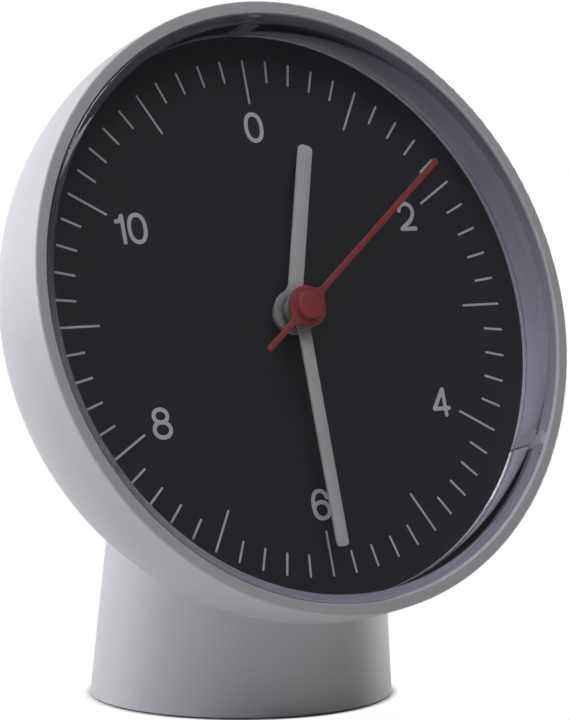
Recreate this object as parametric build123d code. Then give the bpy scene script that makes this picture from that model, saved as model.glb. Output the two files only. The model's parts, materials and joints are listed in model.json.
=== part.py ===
from build123d import *
import math
import os

# Analogue quartz table clock: tilted bowl-shaped head on a tapered round base.
#
# Row frame: millimetres, +Z up, -Y towards the reader, origin at the centre of the foot.
# Head frame: z = 0 in the plane of the rim, +z out towards the reader, +y up the dial.

# ---------------------------------------------------------------- driving dimensions
HEAD_TILT = 17.85          # dial leans back from vertical, degrees
RIM_Y = -20.85             # centre of the rim in the row frame
RIM_Z = 65.1

HEAD_R = 50.0              # bowl: radius at its widest
BOWL_EQUATOR = -4.6        # where the straight rim band ends and the round starts
BOWL_DEPTH = 36.5          # from there to the back of the bowl
BOWL_SIDE_R = 29.0         # radius of the round near the rim; the back radius follows
SHELL_WALL = 2.0
BORE_R = 48.1              # bore in front of the dial
RIM_ROUND = 0.35
BORE_ROUND = 0.2

DIAL_FRONT = -8.2
DIAL_T = 1.0
DIAL_BACK = DIAL_FRONT - DIAL_T
DIAL_R = 47.9
LEDGE_T = 2.0              # ring that the dial rests on
LEDGE_R = 45.2

LENS_R = 47.85
LENS_T = 1.05
LENS_CROWN = 0.6           # height of the slight dome
LENS_EDGE = -0.25          # front edge of the lens, just under the rim
LENS_WALL = 1.4            # skirt that stands on the edge of the dial
SNAP_ANGLES = (0.0, 120.0, 240.0)
SNAP_W = 2.6
SNAP_H = 5.3
SNAP_OUT = 0.45
SNAP_ROOM = 0.2            # room round each pad in its pocket

DOOR_R = 39.2              # half-moon battery door in the back of the bowl
DOOR_Y = 4.0
DOOR_GAP = 0.25
DOOR_WALL = 1.6
SEAT = 0.1                 # room between the door and the flange behind it
FLANGE_T = 1.5
FLANGE_W = 2.2
SKIRT_H = 2.6              # rim inside the door that grips the flange
SKIRT_T = 1.2
SKIRT_ROOM = 0.3
NOTCH_R = 3.2              # finger notch at the top of the door
NOTCH_Z = -28.0
NOTCH_L = 12.0

BASE_R = 24.7              # tapered base, leaning slightly forward
BASE_TAPER = 0.080
BASE_LEAN = -0.052
BASE_TOP = 60.0
BASE_EDGE = 0.3            # lower edge of the shell above the table
BASE_WALL = 2.2
BASE_JOIN = 0.2            # inner features run this far into the wall
CRADLE_T = 2.5
PILLAR_R = 2.8
PILLAR_RING = 17.5
PILLAR_ANGLES = (30.0, 150.0, 270.0)
SCREW_R = 1.25

FOOT_T = 1.2
FOOT_R = 21.4
PLATE_T = 2.0
PLATE_R = 21.9
FLOOR = FOOT_T + PLATE_T
WEIGHT_T = 8.0
WEIGHT_R = 20.6
WEIGHT_EDGE = 0.5
WEIGHT_ROOM = 0.4          # room round the pillars

BOLT_X = 8.5               # two bolts join the head and the base
BOLT_R = 1.5
BOLT_BOSS_R = 4.5
BOSS_IN = 4.0
BOSS_OUT = 5.5

HOUR_ANGLE = 16.4          # hands at rest, clockwise from the top
MINUTE_ANGLE = 180.0
SECOND_ANGLE = 52.8
HAND_T = 0.5
HOUR_TOP = -6.13
MINUTE_TOP = -4.10
SECOND_TOP = -2.10
# hands: (hub radius, bar width, reach, tip round, flare at the hub)
HOUR_SHAPE = (3.65, 2.65, 28.6, 0.85, 2.4)
MINUTE_SHAPE = (2.75, 2.2, 38.3, 0.7, 2.9)
SECOND_SHAPE = (3.4, 0.95, 38.7, 0.3, 2.2)
SECOND_TAIL = 11.1
# collars under the hands: (radius, back)
HOUR_COLLAR = (2.85, -7.6)
MINUTE_COLLAR = (2.3, -5.7)
SECOND_COLLAR = (1.3, -3.6)
CAP_R = 2.3                # button on the seconds hand
CAP_T = 1.0
CAP_ROUND = 0.25
SHAFT_IN = 0.3             # the seconds shaft stops this far under the hand's front

CASE_W = 55.0              # quartz movement, 55 x 55 x 14.5 mm
CASE_DEPTH = 14.5
CASE_ROUND = 4.0
CASE_WALL = 1.4
CASE_FACE = 1.2
CASE_BACK = DIAL_BACK - CASE_DEPTH
BACK_T = 1.2
BACK_GAP = 0.1
INNER_FRONT = DIAL_BACK - CASE_FACE
INNER_BACK = CASE_BACK + BACK_T
TRAIN_TOP = 11.0           # the battery bay lies above this line

BATTERY_R = 7.1            # AA cell
BATTERY_L = 49.2
NUB_R = 2.75
NUB_L = 1.3
BATTERY_Y = 19.5
BAY_R = 7.4
BATTERY_Z = INNER_FRONT - 0.2 - BATTERY_R
BAY_HALF = 26.0
CELL_ROUND = 0.4
CONTACT_T = 0.5
CONTACT_HALF = 4.5
CONTACT_FRONT = 5.0        # edges of the strips, from the middle of the cell
CONTACT_BACK = 6.0

EAR_AT = 31.0              # two ears fix the movement to the back of the dial
EAR_Z = (-13.2, -14.7)
EAR_R = 2.6
EAR_SCREW_R = 1.0
EAR_ROOM = 0.15
EAR_HEAD_R = 1.9
EAR_HEAD_T = 1.4
EAR_SLOT = (3.0, 0.5, 0.6)
DIAL_BOSS_R = 2.4

PIVOT_R = 0.30
PIVOT_HOLE_R = 0.35
ARBOR_R = 0.50
PIVOT_L = 0.7
PIVOT_HOLE_L = 0.8
SHAFT_R = 0.63             # seconds shaft, inside the minute pipe, inside the hour pipe
MINUTE_PIPE_R = 1.65
HOUR_PIPE_R = 2.50
RUNNING = 0.07

# gear train: (module, teeth)
ROTOR_PINION = (0.22, 8)
STEP_WHEEL = (0.22, 48)
STEP_PINION = (0.25, 10)
SECOND_WHEEL = (0.25, 50)
TRAIN_DIST = 8.64
SECOND_PINION = (TRAIN_DIST / 34, 8)
THIRD_WHEEL = (TRAIN_DIST / 34, 60)
THIRD_PINION = (TRAIN_DIST / 36, 8)
MINUTE_WHEEL = (TRAIN_DIST / 36, 64)
MINUTE_PINION = (TRAIN_DIST / 24, 12)
TRANSFER_WHEEL = (TRAIN_DIST / 24, 36)
TRANSFER_PINION = (TRAIN_DIST / 25, 10)
HOUR_WHEEL = (TRAIN_DIST / 25, 40)
SETTING_PINION = (TRAIN_DIST / 24, 18)

TOOTH_ROOT = 1.3           # depth and height of a tooth in modules
TOOTH_TIP = 0.8
ROOT_SHARE = 0.55          # half widths of a tooth in half pitches
TIP_SHARE = 0.18

THIRD_DIR = 230.0
STEP_DIR = 300.0
ROTOR_DIR = 315.0
TRANSFER_DIR = 165.0
SETTING_DIR = 150.0

# levels of the wheels, front to back, as (front, back)
HOUR_LEVEL = (-11.6, -12.6)
TRANSFER_LEVEL = (-13.2, -14.2)
MINUTE_LEVEL = (-14.9, -15.9)
THIRD_LEVEL = (-16.8, -17.6)
SECOND_LEVEL = (-18.5, -19.3)
STEP_LEVEL = (-20.1, -20.8)
MESH_OVER = 0.1            # a pinion is this much wider than its wheel on each side

# stepping motor and train bridge
BRIDGE = (-16.4, -17.2)
BRIDGE_BAR = (2.8, 14.5, -8.0, -4.0)       # x0, x1, y0, y1
BRIDGE_LEG = (5.2, 11.0, -16.2, -6.0)
BRIDGE_POSTS = ((12.5, -5.5), (7.5, -15.0))
STATOR = (-17.9, -18.7)
STATOR_POSTS = ((-13.5, -13.2), (13.8, -13.2))
STATOR_W = 2.8             # width of the arms
STATOR_RING_R = 4.4
STATOR_GAP = 0.5           # air gap round the magnet
STATOR_ARM_Y = -13.0
STATOR_TAB_Y = -11.0
POST_R = 1.2
MAGNET_R = 2.2
MAGNET_LEVEL = (-17.45, -19.2)
COIL_Y = -20.5
COIL_R = 3.3
COIL_HALF = 10.5
CORE_HALF = 15.0
CORE_W = 2.4
BOBBIN_R = 1.9
BOBBIN_RIM = 0.5
BOBBIN_RIM_T = 0.8

# circuit board and what stands on it
BOARD = (-20.4, -21.2)
BOARD_AREA = (16.5, 25.8, -25.5, -1.5)     # x0, x1, y0, y1
BOARD_POSTS = ((23.5, -4.0), (23.5, -23.0))
CHIP_AREA = (19.0, 23.0, -10.5, -6.5)
CHIP_T = 1.0
CHIP_EDGE = 0.25
CRYSTAL_R = 1.05
CRYSTAL_L = 6.2
CRYSTAL_AT = (20.0, -16.5)

# setting knob at the back of the movement
KNOB_R = 4.2
KNOB_FRONT = CASE_BACK - 0.4
KNOB_T = 2.4
KNOB_FLUTES = 18
FLUTE_R = 0.35
SETTING_SHAFT_R = 0.8
SHAFT_END = 0.6            # the shaft stops this far inside the knob

# screws and bolts
HEAD_SCREW_R = 2.4
HEAD_SCREW_T = 1.2
SCREW_ROOM = 0.15
SCREW_L = 7.0
SCREW_SLOT = (2.6, 0.6)
NUT_FLAT = 5.5
NUT_T = 2.4
WASHER_R = 3.5
WASHER_T = 0.5
BOLT_HEAD_R = 2.75
BOLT_HEAD_T = 3.0
BOLT_ROOM = 0.2            # clearance of the bolt holes
BOLT_END = 0.6             # thread standing out of the nut
KEY_R = 1.45
KEY_DEPTH = 1.5

HEAD = Pos(0, RIM_Y, RIM_Z) * Rot(90 - HEAD_TILT, 0, 0)


# ---------------------------------------------------------------- helpers
def rod(r, z0, z1, x=0.0, y=0.0):
    """Cylinder along z between two heights."""
    return Pos(x, y, (z0 + z1) / 2) * Cylinder(r, abs(z1 - z0))


def bar(r, x0, x1, y, z):
    """Cylinder along x."""
    return Pos((x0 + x1) / 2, y, z) * Rot(0, 90, 0) * Cylinder(r, abs(x1 - x0))


def block(x0, x1, y0, y1, z0, z1):
    """Box between three pairs of limits."""
    size = (abs(x1 - x0), abs(y1 - y0), abs(z1 - z0))
    return Pos((x0 + x1) / 2, (y0 + y1) / 2, (z0 + z1) / 2) * Box(*size)


def polar(r, degrees, start=(0.0, 0.0)):
    """Point at a distance and a counter-clockwise direction from start."""
    a = math.radians(degrees)
    return (start[0] + r * math.cos(a), start[1] + r * math.sin(a))


def clock(r, degrees):
    """Point at a clock angle: clockwise from the top of the dial."""
    return polar(r, 90 - degrees)


# the back round meets the side round without an edge
BOWL_BACK_R = (HEAD_R ** 2 + BOWL_DEPTH ** 2) / 2 - HEAD_R * BOWL_SIDE_R
BOWL_BACK_R /= BOWL_DEPTH - BOWL_SIDE_R
BACK_CENTRE = BOWL_EQUATOR - BOWL_DEPTH + BOWL_BACK_R
SIDE_CENTRE = HEAD_R - BOWL_SIDE_R
PILLARS = [polar(PILLAR_RING, angle) for angle in PILLAR_ANGLES]
TANGENT = math.degrees(math.atan2(BACK_CENTRE - BOWL_EQUATOR, SIDE_CENTRE))


def back_arc(offset):
    """Arc of the bowl's profile from its axis to the side round."""
    return CenterArc((0, BACK_CENTRE), BOWL_BACK_R - offset, start_angle=-90, arc_size=90 - TANGENT)


def side_arc(offset, top=BOWL_EQUATOR):
    """Arc of the bowl's profile from the back round up to a height."""
    radius = BOWL_SIDE_R - offset
    sweep = TANGENT + math.degrees(math.asin((top - BOWL_EQUATOR) / radius))
    return CenterArc((SIDE_CENTRE, BOWL_EQUATOR), radius, start_angle=-TANGENT, arc_size=sweep)


def bowl_form(offset, top=0.0):
    """Solid bowl, shrunk by offset, with its straight band carried up to top."""
    back = back_arc(offset)
    radius = HEAD_R - offset
    outline = Polyline((radius, BOWL_EQUATOR), (radius, top), (0, top), back @ 0)
    return revolve(Plane.XZ * make_face([back, side_arc(offset), outline]), Axis.Z)


def door_prism(grow):
    """Half-moon prism through the back of the bowl, grown outwards by grow."""
    lower = Pos(0, DOOR_Y - grow - HEAD_R) * Rectangle(4 * HEAD_R, 2 * HEAD_R)
    half_moon = Circle(DOOR_R + grow) - lower
    return Pos(0, 0, -BOWL_DEPTH - 10) * extrude(half_moon, BOWL_DEPTH - 5)


# ---------------------------------------------------------------- gears
def pitch_r(gear):
    return gear[0] * gear[1] / 2


def mesh_distance(one, other):
    return pitch_r(one) + pitch_r(other)


def mesh_phase(driver, driver_phase, follower, direction):
    """Tooth phase of a follower that lies in this direction from its driver, degrees."""
    turn = (direction - driver_phase) * driver[1] / 360
    return direction + 180 - (0.5 - turn) * 360 / follower[1]


def toothed(gear, z0, z1, at, phase):
    """Spur gear with straight-flanked teeth and wide backlash."""
    module, teeth = gear
    tooth = math.pi / teeth
    root = module * (teeth / 2 - TOOTH_ROOT)
    tip = module * (teeth / 2 + TOOTH_TIP)
    corners = [(root, -ROOT_SHARE), (tip, -TIP_SHARE), (tip, TIP_SHARE), (root, ROOT_SHARE)]
    points = []
    for k in range(teeth):
        for radius, share in corners:
            angle = math.radians(phase) + 2 * tooth * k + share * tooth
            points.append((radius * math.cos(angle), radius * math.sin(angle)))
    outline = make_face(Polyline(*points, close=True))
    return Pos(at[0], at[1], min(z0, z1)) * extrude(outline, abs(z1 - z0))


def arbor(at, front, back):
    """Arbor with a reduced pivot at each end."""
    body = rod(ARBOR_R, front - PIVOT_L / 2, back + PIVOT_L / 2, *at)
    return body + rod(PIVOT_R, front + PIVOT_L, back - PIVOT_L, *at)


CENTRE = (0.0, 0.0)
THIRD_AT = polar(TRAIN_DIST, THIRD_DIR)
STEP_AT = polar(mesh_distance(STEP_PINION, SECOND_WHEEL), STEP_DIR)
ROTOR_AT = polar(mesh_distance(ROTOR_PINION, STEP_WHEEL), ROTOR_DIR, STEP_AT)
TRANSFER_AT = polar(TRAIN_DIST, TRANSFER_DIR)
SETTING_AT = polar(mesh_distance(TRANSFER_WHEEL, SETTING_PINION), SETTING_DIR, TRANSFER_AT)



def pinion(gear, level, at, phase):
    return toothed(gear, level[0] + MESH_OVER, level[1] - MESH_OVER, at, phase)


def second_wheel():
    phase = mesh_phase(STEP_PINION, 0, SECOND_WHEEL, STEP_DIR + 180)
    return toothed(SECOND_WHEEL, *SECOND_LEVEL, CENTRE, phase) - rod(SHAFT_R, *SECOND_LEVEL)


def second_shaft():
    shaft = rod(SHAFT_R, SECOND_TOP - SHAFT_IN, INNER_BACK + PIVOT_L / 2)
    shaft += pinion(SECOND_PINION, THIRD_LEVEL, CENTRE, 0)
    return shaft + rod(PIVOT_R, INNER_BACK + PIVOT_L, INNER_BACK - PIVOT_L)


def third_wheel():
    phase = mesh_phase(SECOND_PINION, 0, THIRD_WHEEL, THIRD_DIR)
    wheel = toothed(THIRD_WHEEL, *THIRD_LEVEL, THIRD_AT, phase)
    wheel += pinion(THIRD_PINION, MINUTE_LEVEL, THIRD_AT, 0)
    return wheel + arbor(THIRD_AT, INNER_FRONT, INNER_BACK)


def minute_wheel():
    phase = mesh_phase(THIRD_PINION, 0, MINUTE_WHEEL, THIRD_DIR + 180)
    return toothed(MINUTE_WHEEL, *MINUTE_LEVEL, CENTRE, phase) - rod(MINUTE_PIPE_R, *MINUTE_LEVEL)


def minute_pipe():
    pipe = rod(MINUTE_PIPE_R, MINUTE_TOP, MINUTE_LEVEL[1] - 0.2)
    pipe += pinion(MINUTE_PINION, TRANSFER_LEVEL, CENTRE, 0)
    return pipe - rod(SHAFT_R + RUNNING, 0, CASE_BACK)


def transfer_wheel():
    phase = mesh_phase(MINUTE_PINION, 0, TRANSFER_WHEEL, TRANSFER_DIR)
    wheel = toothed(TRANSFER_WHEEL, *TRANSFER_LEVEL, TRANSFER_AT, phase)
    wheel += pinion(TRANSFER_PINION, HOUR_LEVEL, TRANSFER_AT, 0)
    return wheel + arbor(TRANSFER_AT, INNER_FRONT, INNER_BACK)


def hour_wheel():
    phase = mesh_phase(TRANSFER_PINION, 0, HOUR_WHEEL, TRANSFER_DIR + 180)
    wheel = toothed(HOUR_WHEEL, *HOUR_LEVEL, CENTRE, phase)
    wheel += rod(HOUR_PIPE_R, HOUR_TOP, HOUR_LEVEL[1])
    return wheel - rod(MINUTE_PIPE_R + RUNNING, 0, CASE_BACK)


def intermediate_wheel():
    phase = mesh_phase(ROTOR_PINION, 0, STEP_WHEEL, ROTOR_DIR + 180)
    wheel = toothed(STEP_WHEEL, *STEP_LEVEL, STEP_AT, phase)
    wheel += pinion(STEP_PINION, SECOND_LEVEL, STEP_AT, 0)
    return wheel + arbor(STEP_AT, BRIDGE[1], INNER_BACK)


def rotor_pinion():
    return pinion(ROTOR_PINION, STEP_LEVEL, ROTOR_AT, 0) + arbor(ROTOR_AT, BRIDGE[1], INNER_BACK)


def rotor_magnet():
    return rod(MAGNET_R, *MAGNET_LEVEL, *ROTOR_AT) - rod(ARBOR_R, *MAGNET_LEVEL, *ROTOR_AT)


def setting_shaft():
    transfer_phase = mesh_phase(MINUTE_PINION, 0, TRANSFER_WHEEL, TRANSFER_DIR)
    phase = mesh_phase(TRANSFER_WHEEL, transfer_phase, SETTING_PINION, SETTING_DIR)
    shoulder = INNER_FRONT - PIVOT_L / 2
    shaft = rod(SETTING_SHAFT_R, shoulder, KNOB_FRONT - KNOB_T + SHAFT_END, *SETTING_AT)
    shaft += rod(PIVOT_R, INNER_FRONT + PIVOT_L, shoulder - PIVOT_L, *SETTING_AT)
    return shaft + pinion(SETTING_PINION, TRANSFER_LEVEL, SETTING_AT, phase)


def setting_knob():
    knob = rod(KNOB_R, KNOB_FRONT, KNOB_FRONT - KNOB_T, *SETTING_AT)
    for k in range(KNOB_FLUTES):
        at = polar(KNOB_R, k * 360 / KNOB_FLUTES, SETTING_AT)
        knob -= rod(FLUTE_R, KNOB_FRONT, KNOB_FRONT - KNOB_T, *at)
    return knob - rod(SETTING_SHAFT_R, KNOB_FRONT, KNOB_FRONT - KNOB_T + SHAFT_END, *SETTING_AT)


# ---------------------------------------------------------------- hands
def hand_outline(hub_r, width, reach, tip_round, flare, tail=0.0):
    """Hub disc with one bar, or two, each flared into the hub and rounded at its end."""
    near = 0.01
    ends = [reach, -tail] if tail else [reach]
    outline = Circle(hub_r) + Pos(0, (reach - tail) / 2) * Rectangle(width, reach + tail)
    corners = [v for v in outline.vertices() if min(abs(v.Y - end) for end in ends) < near]
    outline = fillet(corners, tip_round)
    necks = [v for v in outline.vertices() if abs(math.hypot(v.X, v.Y) - hub_r) < near]
    return fillet(necks, flare)


def hand(outline, top, angle, collar):
    """Flat hand at its clock angle, with the collar behind it."""
    blade = Rot(0, 0, -angle) * Pos(0, 0, top - HAND_T) * extrude(outline, HAND_T)
    return blade + rod(collar[0], top - HAND_T, collar[1])


def hour_hand():
    body = hand(hand_outline(*HOUR_SHAPE), HOUR_TOP, HOUR_ANGLE, HOUR_COLLAR)
    return body - rod(HOUR_PIPE_R, 0, DIAL_FRONT)


def minute_hand():
    body = hand(hand_outline(*MINUTE_SHAPE), MINUTE_TOP, MINUTE_ANGLE, MINUTE_COLLAR)
    return body - rod(MINUTE_PIPE_R, 0, DIAL_FRONT)


def second_hand():
    outline = hand_outline(*SECOND_SHAPE, tail=SECOND_TAIL)
    cap = rod(CAP_R, SECOND_TOP, SECOND_TOP + CAP_T)
    cap = fillet(cap.edges().group_by(Axis.Z)[-1], CAP_ROUND)
    body = hand(outline, SECOND_TOP, SECOND_ANGLE, SECOND_COLLAR) + cap
    return body - rod(SHAFT_R, SECOND_TOP - SHAFT_IN, DIAL_FRONT)


# ---------------------------------------------------------------- head
def shell_wall():
    """Bowl wall with its rim, bore and dial ledge, turned from one profile."""
    ledge_back = DIAL_BACK - LEDGE_T
    inner = [back_arc(SHELL_WALL), side_arc(SHELL_WALL, ledge_back)]
    outer = [back_arc(0), side_arc(0)]
    corners = Polyline(
        outer[1] @ 1,
        (HEAD_R, 0),
        (BORE_R, 0),
        (BORE_R, DIAL_BACK),
        (LEDGE_R, DIAL_BACK),
        (LEDGE_R, ledge_back),
        inner[1] @ 1,
    )
    middle = Line(inner[0] @ 0, outer[0] @ 0)
    wall = revolve(Plane.XZ * make_face(outer + inner + [corners, middle]), Axis.Z)
    wall = fillet(wall.edges().group_by(Axis.Z)[-1].sort_by(SortBy.RADIUS)[-1], RIM_ROUND)
    return fillet(wall.edges().group_by(Axis.Z)[-1].sort_by(SortBy.RADIUS)[0], BORE_ROUND)


def head_shell():
    shell = shell_wall()
    for angle in SNAP_ANGLES:
        shell -= snap_block(angle, SNAP_ROOM)
    shell -= door_prism(0)
    flange = bowl_form(DOOR_WALL + SEAT) - bowl_form(DOOR_WALL + SEAT + FLANGE_T)
    shell += flange & (door_prism(FLANGE_T) - door_prism(-FLANGE_W))
    inside = bowl_form(SHELL_WALL / 4)
    for boss in joint_pair(BOLT_BOSS_R, BOSS_IN, -BOSS_IN):
        shell += (HEAD.inverse() * boss) & inside
    for hole in joint_pair(BOLT_R + BOLT_ROOM, BOSS_IN, -BOSS_IN - 1):
        shell -= HEAD.inverse() * hole
    return shell


def snap_block(angle, room):
    """Outward snap pad on the lens skirt, or the pocket for it when room is given."""
    x = SNAP_W / 2 + room
    outer = LENS_R + SNAP_OUT + room
    top = DIAL_FRONT + SNAP_H + room
    return Rot(0, 0, -angle) * block(-x, x, LENS_R - LENS_WALL, outer, DIAL_FRONT, top)


def lens():
    rise = LENS_CROWN
    radius = (LENS_R ** 2 + rise ** 2) / (2 * rise)
    dome = Pos(0, 0, LENS_EDGE + rise - radius) * Sphere(radius)
    hollow = Pos(0, 0, LENS_EDGE + rise - radius - LENS_T) * Sphere(radius)
    above = rise + 1
    cup = (rod(LENS_R, above, DIAL_FRONT) & dome) - (rod(LENS_R - LENS_WALL, above, DIAL_FRONT) & hollow)
    for angle in SNAP_ANGLES:
        cup += snap_block(angle, 0.0) - rod(LENS_R - LENS_WALL / 2, above, DIAL_FRONT)
    return cup


def dial():
    plate = rod(DIAL_R, DIAL_FRONT, DIAL_BACK)
    plate -= rod(HOUR_PIPE_R + 0.5, DIAL_FRONT, DIAL_BACK)
    for x in (-EAR_AT, EAR_AT):
        boss = rod(DIAL_BOSS_R, DIAL_BACK, EAR_Z[0], x, 0)
        plate += boss - rod(EAR_SCREW_R, DIAL_BACK, EAR_Z[0], x, 0)
    return plate


def rear_cover():
    skin = (bowl_form(0) - bowl_form(DOOR_WALL)) & door_prism(-DOOR_GAP)
    inside = -FLANGE_W - SKIRT_ROOM
    skirt = bowl_form(DOOR_WALL - SEAT) - bowl_form(DOOR_WALL + SKIRT_H)
    skirt &= door_prism(inside) - door_prism(inside - SKIRT_T)
    notch = Pos(0, DOOR_R + NOTCH_R / 6, NOTCH_Z) * Cylinder(NOTCH_R, NOTCH_L)
    return skin + skirt - notch


# ---------------------------------------------------------------- movement
def movement_case():
    outline = RectangleRounded(CASE_W, CASE_W, CASE_ROUND)
    case = Pos(0, 0, CASE_BACK) * extrude(outline, CASE_DEPTH)
    inner = CASE_W / 2 - CASE_WALL
    case -= block(-inner, inner, -inner, TRAIN_TOP, INNER_FRONT, CASE_BACK)
    case -= bar(BAY_R, -BAY_HALF, BAY_HALF, BATTERY_Y, BATTERY_Z)
    case -= block(-BAY_HALF, BAY_HALF, BATTERY_Y - BAY_R, BATTERY_Y + BAY_R, BATTERY_Z, CASE_BACK)
    case -= rod(HOUR_PIPE_R + RUNNING, DIAL_BACK, INNER_FRONT)
    for at in (THIRD_AT, TRANSFER_AT, SETTING_AT):
        case -= rod(PIVOT_HOLE_R, INNER_FRONT, INNER_FRONT + PIVOT_HOLE_L, *at)
    for posts, top in ((BRIDGE_POSTS, BRIDGE[0]), (STATOR_POSTS, STATOR[0]), (BOARD_POSTS, BOARD[0])):
        for at in posts:
            case += rod(POST_R, INNER_FRONT, top, *at)
    for x in (-EAR_AT, EAR_AT):
        ear = block(0, x, -EAR_R, EAR_R, *EAR_Z) + rod(EAR_R, *EAR_Z, x, 0)
        ear -= block(-CASE_W / 2, CASE_W / 2, -CASE_W / 2, CASE_W / 2, *EAR_Z)
        case += ear - rod(EAR_SCREW_R + EAR_ROOM, *EAR_Z, x, 0)
    return case


def movement_back():
    inner = CASE_W / 2 - CASE_WALL - BACK_GAP
    plate = block(-inner, inner, -inner, TRAIN_TOP - BACK_GAP, INNER_BACK, CASE_BACK)
    for at in (CENTRE, THIRD_AT, TRANSFER_AT, STEP_AT, ROTOR_AT):
        plate -= rod(PIVOT_HOLE_R, INNER_BACK, INNER_BACK - PIVOT_HOLE_L, *at)
    return plate - rod(SETTING_SHAFT_R + RUNNING, INNER_BACK, CASE_BACK, *SETTING_AT)


def train_bridge():
    plate = block(*BRIDGE_BAR, *BRIDGE) + block(*BRIDGE_LEG, *BRIDGE)
    for at in (STEP_AT, ROTOR_AT):
        plate -= rod(PIVOT_HOLE_R, *BRIDGE, *at)
    return plate


def stator():
    """Core through the coil with an arm from each end to the ring round the magnet."""
    half = CORE_W / 2
    inner = CORE_HALF - STATOR_W
    near = ROTOR_AT[0] - MAGNET_R
    far = ROTOR_AT[0] + MAGNET_R
    arm = (STATOR_ARM_Y - STATOR_W / 2, STATOR_ARM_Y + STATOR_W / 2)
    tab = (STATOR_TAB_Y - STATOR_W / 2, STATOR_TAB_Y + STATOR_W / 2)
    plate = block(-CORE_HALF, CORE_HALF, COIL_Y - half, COIL_Y + half, *STATOR)
    plate += block(-CORE_HALF, -inner, COIL_Y, arm[1], *STATOR)
    plate += block(-CORE_HALF, near, *arm, *STATOR)
    plate += block(inner, CORE_HALF, COIL_Y, tab[1], *STATOR)
    plate += block(far, CORE_HALF, *tab, *STATOR)
    plate += rod(STATOR_RING_R, *STATOR, *ROTOR_AT)
    return plate - rod(MAGNET_R + STATOR_GAP, *STATOR, *ROTOR_AT)


def coil_bobbin():
    level = (STATOR[0] + STATOR[1]) / 2
    half = CORE_W / 2
    body = bar(BOBBIN_R, -COIL_HALF, COIL_HALF, COIL_Y, level)
    for x in (-COIL_HALF, COIL_HALF - BOBBIN_RIM_T):
        body += bar(COIL_R + BOBBIN_RIM, x, x + BOBBIN_RIM_T, COIL_Y, level)
    return body - block(-CORE_HALF, CORE_HALF, COIL_Y - half, COIL_Y + half, *STATOR)


def coil_winding():
    level = (STATOR[0] + STATOR[1]) / 2
    end = COIL_HALF - BOBBIN_RIM_T
    return bar(COIL_R, -end, end, COIL_Y, level) - bar(BOBBIN_R, -end, end, COIL_Y, level)


def circuit_board():
    return block(*BOARD_AREA, *BOARD)


def ic_chip():
    chip = block(*CHIP_AREA, BOARD[0], BOARD[0] + CHIP_T)
    return chamfer(chip.edges().group_by(Axis.Z)[-1], CHIP_EDGE)


def quartz_crystal():
    return Pos(*CRYSTAL_AT, BOARD[0] + CRYSTAL_R) * Rot(90, 0, 0) * Cylinder(CRYSTAL_R, CRYSTAL_L)


def battery():
    left = -(BATTERY_L + NUB_L) / 2
    can = bar(BATTERY_R, left, left + BATTERY_L, BATTERY_Y, BATTERY_Z)
    can = fillet(can.edges(), CELL_ROUND)
    return can + bar(NUB_R, 0, -left, BATTERY_Y, BATTERY_Z)


def battery_contact(side):
    """Strip at one end of the battery bay."""
    face = side * (BAY_HALF - CONTACT_T)
    lower = BATTERY_Y - CONTACT_HALF
    upper = BATTERY_Y + CONTACT_HALF
    front = BATTERY_Z + CONTACT_FRONT
    return block(side * BAY_HALF, face, lower, upper, front, BATTERY_Z - CONTACT_BACK)


def movement_screws():
    length, width, depth = EAR_SLOT
    under = EAR_Z[1]
    back = under - EAR_HEAD_T
    screws = []
    for x in (-EAR_AT, EAR_AT):
        screw = rod(EAR_SCREW_R, DIAL_BACK - 0.4, under, x, 0) + rod(EAR_HEAD_R, under, back, x, 0)
        slot = block(x - length / 2, x + length / 2, -width / 2, width / 2, back + depth, back)
        screws.append(HEAD * (screw - slot))
    return Compound(children=screws)


# ---------------------------------------------------------------- base
def cone(shrink, z0, z1):
    """Tapered, slightly leaning base form, shrunk by shrink."""
    rings = []
    for z in (z0, z1):
        rings.append(Pos(0, BASE_LEAN * z, z) * Circle(BASE_R - shrink - BASE_TAPER * z))
    return loft(rings)


def joint_frame():
    """Frame where the base's axis meets the back of the bowl, z out of the bowl (row frame)."""
    centre = (HEAD * Pos(0, 0, BACK_CENTRE)).position
    height = centre.Z - math.sqrt(BOWL_BACK_R ** 2 - centre.Y ** 2)
    lean = math.degrees(math.atan2(centre.Y, height - centre.Z))
    return Pos(0, 0, height) * Rot(lean, 0, 0)


def joint_pair(r, outward, inward):
    """A pair of rods along the two bolt axes (row frame)."""
    return [joint_frame() * rod(r, inward, outward, x, 0) for x in (-BOLT_X, BOLT_X)]


def base_shell():
    bowl = HEAD * bowl_form(0, BASE_TOP)
    shell = cone(0, BASE_EDGE, BASE_TOP) - cone(BASE_WALL, BASE_EDGE - 1, BASE_TOP)
    inside = cone(BASE_WALL - BASE_JOIN, FLOOR, BASE_TOP)
    solid = shell + (HEAD * bowl_form(-CRADLE_T, 1) & inside)
    for at in PILLARS:
        solid += rod(PILLAR_R, FLOOR, BASE_TOP, *at) & inside
    for boss in joint_pair(BOLT_BOSS_R, BOSS_OUT, 0):
        solid += boss
    solid -= bowl
    for at in PILLARS:
        solid -= rod(SCREW_R, FLOOR, FLOOR + SCREW_L + 1, *at)
    for hole in joint_pair(BOLT_R + BOLT_ROOM, BOSS_OUT + 1, -BOSS_IN):
        solid -= hole
    return solid


def base_weight():
    disc = rod(WEIGHT_R, FLOOR, FLOOR + WEIGHT_T)
    disc = chamfer(disc.edges(), WEIGHT_EDGE)
    for at in PILLARS:
        disc -= rod(PILLAR_R + WEIGHT_ROOM, FLOOR, FLOOR + WEIGHT_T, *at)
    return disc


def bottom_plate():
    plate = rod(PLATE_R, FOOT_T, FLOOR)
    for at in PILLARS:
        plate -= rod(SCREW_R + SCREW_ROOM, FOOT_T, FLOOR, *at)
        plate -= rod(HEAD_SCREW_R + SCREW_ROOM, FOOT_T, FOOT_T + HEAD_SCREW_T, *at)
    return plate


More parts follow.
